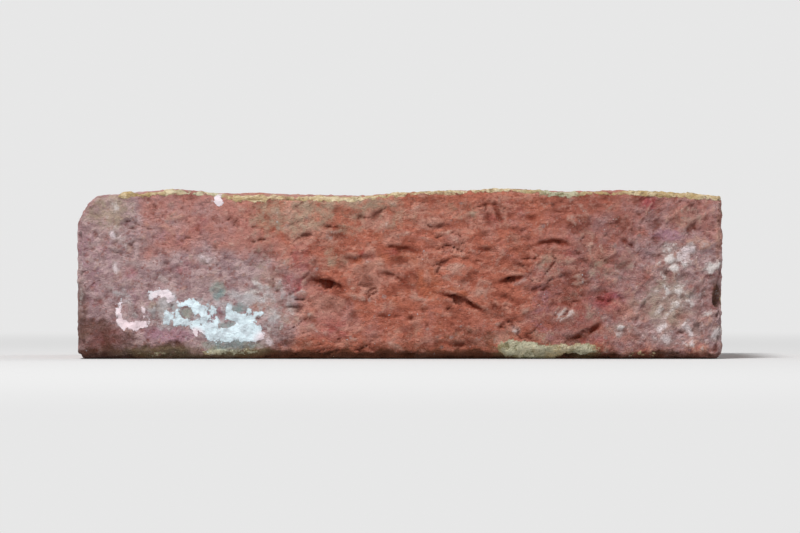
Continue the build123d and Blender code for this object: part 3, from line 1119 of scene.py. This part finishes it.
def push_points(piece, surface, pushes):
    """Moves each point along its normal, the lower bed only inwards."""
    moved = []
    for (point, facing), push in zip(surface, pushes):
        if facing.z < -0.7:
            push = min(push, 0.0) * 0.5
        place = point + facing * push
        moved += (place.x, place.y, max(place.z, low.z))
    piece.data.vertices.foreach_set("co", moved)
    piece.data.update()
    print("pushed from", round(min(pushes) / MM, 2), "to", round(max(pushes) / MM, 2), "mm")


masks["hollow"] = hollow
surface = [(vertex.co.copy(), vertex.normal.copy()) for vertex in brick.data.vertices]
for mask_name, mask in masks.items():
    store(brick, mask_name, [mask(point, facing) for point, facing in surface])
broad, fine = added_up(broad_layers, surface), added_up(fine_layers, surface)
store(brick, "relief", [push / MM for push in fine])
push_points(brick, surface, [a + b for a, b in zip(broad, fine)])

# %% [markdown]
# ## Node groups for the finishes
#
# The clay, the stains and the crusts all need the same three helpers, so each is a node group that
# puts out a mask. Patches makes soft clouds, Grains scatters single grains, and Ragged breaks up the
# edge of a mask that the mesh carries. The shader itself stays in the material.

# %% Node groups
GRAIN_SHAKE = 0.0012


def new_group(name, **inputs):
    """A node group that is to put out a mask, and the sockets of its inputs, each with a default."""
    group = bpy.data.node_groups.new(name, "ShaderNodeTree")
    for label, default in inputs.items():
        kind = "NodeSocketFloat" if isinstance(default, float) else "NodeSocketVector"
        socket = group.interface.new_socket(name=label, in_out="INPUT", socket_type=kind)
        socket.default_value = default
    group.interface.new_socket(name="Mask", in_out="OUTPUT", socket_type="NodeSocketFloat")
    return group, group.nodes.new("NodeGroupInput").outputs


def put_out(group, mask):
    group.links.new(mask, group.nodes.new("NodeGroupOutput").inputs["Mask"])
    return group


def patches_group():
    """Clouds: noise between Low and High turned into a mask from 0 to 1."""
    group, given = new_group("Patches", Vector=(0, 0, 0), Scale=(100, 100, 100), Low=0.4, High=0.6)
    stretched = {0: given["Vector"], 1: given["Scale"]}
    place = add_node(group, "VectorMath", stretched, operation="MULTIPLY")["Vector"]
    clouds = add_node(group, "TexNoise", {"Vector": place, "Scale": 1.0, "Detail": 4.0, "Roughness": 0.65})
    return put_out(group, ramp(group, clouds["Fac"], given["Low"], given["High"]))


def grains_group():
    """Single grains: a share of the cells of a Voronoi pattern, each a spot of its own size."""
    group, given = new_group("Grains", Vector=(0, 0, 0), Scale=900.0, Share=0.2, Radius=0.4)
    shaken = add_node(group, "TexNoise", {"Vector": given["Vector"], "Scale": 900.0})["Color"]
    bent = {"Factor": GRAIN_SHAKE, 4: given["Vector"], 5: shaken}
    place = add_node(group, "Mix", bent, data_type="VECTOR")[1]
    cells = add_node(group, "TexVoronoi", {"Vector": place, "Scale": given["Scale"]})
    cell = add_node(group, "SeparateColor", {"Color": cells["Color"]})
    chosen = maths(group, "LESS_THAN", cell["Red"], given["Share"])
    radius = maths(group, "MULTIPLY", cell["Green"], given["Radius"])
    return put_out(group, maths(group, "MULTIPLY", chosen, ramp(group, cells["Distance"], radius, 0.0)))


def ragged_group():
    """Breaks up the soft edge of a mask with noise and makes it crisp."""
    group, given = new_group("Ragged", Mask=0.0, Vector=(0, 0, 0), Scale=400.0, Amount=0.5, Low=0.4, High=0.6)
    crumbs = {"Vector": given["Vector"], "Scale": given["Scale"], "Detail": 5.0, "Roughness": 0.7}
    centred = maths(group, "SUBTRACT", add_node(group, "TexNoise", crumbs)["Fac"], 0.5)
    moved = maths(group, "MULTIPLY_ADD", centred, given["Amount"], given["Mask"])
    return put_out(group, ramp(group, moved, given["Low"], given["High"]))


PATCHES, GRAINS, RAGGED = patches_group(), grains_group(), ragged_group()
print("node groups:", [group.name for group in bpy.data.node_groups])

# %% [markdown]
# ## The material of the weathered clay
#
# The colour is built up like the brick itself: red clay first, then the pink and orange parts of it,
# the mauve skin from the kiln, sand grains, dust, painted highlight and shade, dirt, and last the lime,
# mortar and paint.
# Each coat is one mix node: the colour below, the colour of the coat, and the mask that says where.

# %% Colours
RED_CLAY = linear("#c4755f")
DEEP_RED_CLAY = linear("#954b3a")
PALE_RED_CLAY = linear("#d49a87")
# Pale sand for grains, and for the painted highlight on ridges.
PALE_SAND_AND_HIGHLIGHT = linear("#d4b5a6")
# Salmon for paler clay and for painted highlight.
SALMON_AND_HIGHLIGHT = linear("#d8a190")
PLUM = linear("#8f5751")
PINK = linear("#c6887d")
CRIMSON = linear("#a5434a")
ORANGE = linear("#bd6a4a")
MAUVE = linear("#c9afb0")
GREY_MAUVE = linear("#a3898d")
LILAC = linear("#b98a9a")
DUST_BEIGE = linear("#b7a48e")
# Dark brown for dark grains and dark clay, and for painted shade in what is sunken.
DARK_BROWN_AND_SHADE = linear("#6b2c1c")
# Dark red painted into the folds as shade, deepest where they are deepest.
FOLD_SHADE_RED = linear("#8a3018")
# The dark brown of dirt and of painted shade along the lower arris.
GRIME_AND_SHADE_BROWN = linear("#4c270f")
GRIME_OLIVE = linear("#746846")
LIME_WHITE = linear("#f0e7e4")
LIME_GREY = linear("#bfb0ab")
MORTAR_BUFF = linear("#cbb088")
MORTAR_PALE = linear("#ead8b4")
MORTAR_OCHRE = linear("#b4955a")
MORTAR_DARK = linear("#947d5c")
MORTAR_MOSSY = linear("#c6c7ae")
MOSS_GREEN = linear("#6f7458")
PAINT_WHITE = linear("#e6f8ff")
PAINT_WORN = linear("#b4b9c0")
PAINT_ROSE = linear("#f4dfe4")
PAINT_THIN = linear("#cfcacc")
ALGAE_TEAL = linear("#8aa3a2")
ALGAE_GREEN = linear("#a6aea3")

print("clay red in linear light:", [round(c, 3) for c in RED_CLAY[:3]])

# %% [markdown]
# ## Coat by coat
#
# The small class below keeps the node tree and the colour so far. Its methods read a mask, break up its
# edge or lay a coat, so that the finishes that follow read like a painter's list: which colour, where,
# and how strong.

# %% Coats
class Coats:
    """Builds a colour coat by coat in a node tree."""

    def __init__(self, tree, colour):
        self.tree = tree
        self.colour = colour
        self.place = add_node(tree, "TexCoord", {})["Object"]

    def attribute(self, name):
        return add_node(self.tree, "Attribute", {}, attribute_name=name)["Fac"]

    def group(self, group, **values):
        """The mask that a node group puts out for this place, given its values."""
        return add_node(self.tree, "Group", {"Vector": self.place, **values}, node_tree=group)["Mask"]

    def patches(self, along, up, low, high):
        """Clouds with one scale along the level and another up."""
        return self.group(PATCHES, Scale=(along, along, up), Low=low, High=high)

    def grains(self, scale, share, radius):
        return self.group(GRAINS, Scale=scale, Share=share, Radius=radius)

    def ragged(self, mask, scale, amount, start, end):
        """A mask of the mesh, or any other, with its edge broken up by noise."""
        if isinstance(mask, str):
            mask = self.attribute(mask)
        return self.group(RAGGED, Mask=mask, Scale=scale, Amount=amount, Low=start, High=end)

    def maths(self, operation, *values):
        return maths(self.tree, operation, *values)

    def ramp(self, value, start, end):
        return ramp(self.tree, value, start, end)

    def mixed(self, mask, below, above, strength=1.0):
        """The colour above over the one below, where the mask says and as strong as given."""
        if strength != 1.0:
            mask = self.maths("MULTIPLY", mask, strength)
        return add_node(self.tree, "Mix", {"Factor": mask, 6: below, 7: above}, data_type="RGBA")[2]

    def coat(self, colour, mask, strength=1.0):
        self.colour = self.mixed(mask, self.colour, colour, strength)


print("a painter can use:", [name for name in vars(Coats) if not name.startswith("_")])

# %% [markdown]
# ## Clay and sand
#
# The body is red clay in lighter and darker clouds, which are longer than they are high. The mauve
# skin is thin and rubbed off the ridges. Sand grains and dust follow, then painted shade where the
# fine relief is sunken and in the folds, a pale painted highlight on what stands proud, and dirt with
# painted shade on the lower arris.

# %% Clay and sand colours
def clay_colour(coats, relief):
    """Red clay with its pink and orange parts, under a mauve skin that is rubbed off the ridges."""
    coats.coat(DEEP_RED_CLAY, coats.patches(80, 140, 0.46, 0.66), 0.5)
    coats.coat(PALE_RED_CLAY, coats.patches(150, 330, 0.48, 0.64), 0.65)
    coats.coat(DEEP_RED_CLAY, coats.patches(240, 480, 0.5, 0.62), 0.6)
    coats.coat(ORANGE, coats.ragged("orange_clay", 260.0, 2.2, 0.35, 1.0), 0.6)
    coats.coat(PINK, coats.ragged("pink_clay", 160.0, 2.0, 0.2, 0.9), 0.9)
    mauve = coats.mixed(coats.patches(200, 330, 0.42, 0.58), MAUVE, GREY_MAUVE)
    rubbed = coats.maths("MULTIPLY", coats.ramp(relief, 0.05, 0.6), 0.25)
    skin = coats.maths("SUBTRACT", coats.attribute("fireskin"), rubbed)
    coats.coat(mauve, coats.ragged(skin, 150.0, 1.3, 0.1, 0.9), 0.88)
    coats.coat(PLUM, coats.ragged("plum_clay", 120.0, 1.0, 0.0, 1.0), 0.62)
    coats.coat(CRIMSON, coats.ragged("crimson_clay", 220.0, 1.6, 0.2, 1.1), 0.75)
    coats.coat(LILAC, coats.ragged("lilac_skin", 260.0, 2.0, 0.3, 1.0), 0.7)
    # Pale clay with painted highlight, and dark clay with painted shade.
    coats.coat(SALMON_AND_HIGHLIGHT, coats.ragged("pale_clay_and_highlight", 420.0, 1.6, 0.2, 1.0), 0.6)
    coats.coat(DARK_BROWN_AND_SHADE, coats.ragged("dark_clay_and_shade", 420.0, 1.4, 0.2, 1.0), 0.62)


def sand_colour(coats, relief):
    """Pale and dark grains in the skin, dust, painted shade in what is sunken and in the folds, a painted
    highlight on what stands proud, and dirt with painted shade on the lower arris.
    """
    coats.coat(PALE_SAND_AND_HIGHLIGHT, coats.grains(1150.0, 0.3, 1.0), 0.3)
    coats.coat(DEEP_RED_CLAY, coats.grains(1000.0, 0.4, 1.1), 0.5)
    coats.coat(DEEP_RED_CLAY, coats.grains(430.0, 0.25, 0.9), 0.45)
    coats.coat(LIME_WHITE, coats.grains(620.0, 0.03, 0.8), 0.45)
    coats.coat(DARK_BROWN_AND_SHADE, coats.grains(620.0, 0.12, 0.9), 0.55)
    coats.coat(DUST_BEIGE, coats.ragged("dust", 300.0, 2.0, 0.3, 1.1), 0.8)
    # Painted highlight: pale on what stands proud in the fine relief.
    coats.coat(PALE_SAND_AND_HIGHLIGHT, coats.ramp(relief, 0.05, 0.6), 0.42)
    # Painted shade: dark brown in what is sunken in the fine relief.
    coats.coat(DARK_BROWN_AND_SHADE, coats.ramp(relief, -0.05, -0.8), 0.7)
    # Painted shade in the folds and behind the open face, by depth.
    coats.coat(FOLD_SHADE_RED, coats.attribute("hollow"), 0.85)
    # Dirt and painted shade on the lower arris, olive where moss grows.
    dirt_and_shade = coats.mixed(coats.attribute("moss"), GRIME_AND_SHADE_BROWN, GRIME_OLIVE)
    coats.coat(dirt_and_shade, coats.ragged("grime", 260.0, 1.5, 0.15, 1.0), 0.88)


print("finishes of the body:", clay_colour.__name__, "and", sand_colour.__name__)

# %% [markdown]
# ## Lime, mortar and paint
#
# These coats lie on top of the clay: the lime lowest, then the mortar, and the paint on top. Each is
# mixed from its own colours first, and then laid where its mask says. Lime and the thin wash cling to
# the ridges, so a share of the fine relief is added to their masks.

# %% Crust colours
def lime_colour(coats, rosy, on_ridges):
    """A grey haze of lime, with white bloom in it."""
    haze = coats.attribute("lime")
    coats.coat(LIME_GREY, coats.ramp(haze, 0.1, 0.8), 0.42)
    bloom = coats.ragged(coats.maths("ADD", haze, on_ridges), 520.0, 2.0, 0.45, 1.05)
    coats.coat(coats.mixed(rosy, LIME_WHITE, PAINT_ROSE), bloom, 0.88)


def mortar_colour(coats):
    """Buff mortar with pale grit, ochre clouds and dark specks, and moss on it."""
    film = coats.ragged("mortar", 600.0, 1.8, 0.42, 0.66)
    sandy = coats.mixed(coats.patches(420, 420, 0.42, 0.6), MORTAR_BUFF, MORTAR_PALE)
    sandy = coats.mixed(coats.patches(75, 75, 0.44, 0.6), sandy, MORTAR_OCHRE, 0.6)
    sandy = coats.mixed(coats.grains(750.0, 0.45, 1.1), sandy, MORTAR_DARK)
    greenish = coats.mixed(coats.patches(330, 330, 0.5, 0.62), MORTAR_MOSSY, MOSS_GREEN)
    mossy = coats.ragged("moss", 300.0, 1.6, 0.2, 1.1)
    coats.coat(coats.mixed(mossy, sandy, greenish, 0.75), film)
    return film


def paint_colour(coats, relief, rosy, on_ridges):
    """A thin wash of paint, algae, and the white flakes, which are worn and tinged with rose."""
    wash_share = coats.maths("ADD", coats.attribute("wash"), on_ridges)
    coats.coat(PAINT_THIN, coats.ragged(wash_share, 420.0, 2.2, 0.3, 1.1), 0.8)
    greens = coats.mixed(coats.patches(130, 130, 0.45, 0.55), ALGAE_TEAL, ALGAE_GREEN)
    coats.coat(greens, coats.ragged("algae", 420.0, 1.5, 0.15, 1.2), 0.85)
    rubbed = coats.maths("MULTIPLY", coats.ramp(relief, 0.2, 0.7), 0.15)
    left = coats.maths("SUBTRACT", coats.attribute("paint"), rubbed)
    flakes = coats.ragged(left, 560.0, 2.4, 0.42, 0.6)
    white = coats.mixed(coats.patches(300, 300, 0.47, 0.62), PAINT_WHITE, PAINT_WORN, 0.5)
    coats.coat(coats.mixed(rosy, white, PAINT_ROSE), flakes, 0.97)
    return flakes


print("crusts:", [finish.__name__ for finish in (lime_colour, mortar_colour, paint_colour)])

# %% [markdown]
# ## The finished material
#
# Fired clay and lime are matt, so the shader is rough nearly all the way and hardly glossy. The finest
# sand is too small for the mesh and comes as a bump, which is weaker under the paint and stronger at
# the edges of the crusts.

# %% Weathered clay
BUMP_DEPTH = 0.5 * MM


def relief_bump(coats, film, flakes):
    """The finest sand, too small for the mesh, and the edges of the crusts."""
    coarse, fine = coats.patches(750, 750, 0.25, 0.75), coats.patches(1900, 1900, 0.25, 0.75)
    height = coats.maths("MULTIPLY_ADD", fine, 0.6, coarse)
    height = coats.maths("MULTIPLY", height, coats.maths("MULTIPLY_ADD", flakes, -0.6, 1.0))
    height = coats.maths("MULTIPLY_ADD", film, 0.5, height)
    height = coats.maths("MULTIPLY_ADD", flakes, 0.9, height)
    bump = {"Strength": 1.0, "Distance": BUMP_DEPTH, "Height": height}
    return add_node(coats.tree, "Bump", bump)["Normal"]


def weathered_clay():
    material, tree = new_material("weathered_clay")
    coats = Coats(tree, RED_CLAY)
    relief, rosy = coats.attribute("relief"), coats.attribute("rosy")
    on_ridges = coats.maths("MULTIPLY", relief, 0.5)
    clay_colour(coats, relief)
    sand_colour(coats, relief)
    lime_colour(coats, rosy, on_ridges)
    film = mortar_colour(coats)
    flakes = paint_colour(coats, relief, rosy, on_ridges)
    surface = {
        "Base Color": coats.colour,
        "Roughness": 0.92,
        "Specular IOR Level": 0.25,
        "Normal": relief_bump(coats, film, flakes),
    }
    shader = add_node(tree, "BsdfPrincipled", surface)["BSDF"]
    add_node(tree, "OutputMaterial", {"Surface": shader})
    return material


brick.data.materials.append(weathered_clay())
print("weathered clay:", len(brick.data.materials[0].node_tree.nodes), "nodes")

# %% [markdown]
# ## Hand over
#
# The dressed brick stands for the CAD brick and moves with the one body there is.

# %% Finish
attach(brick, "root")
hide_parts("clay_brick")
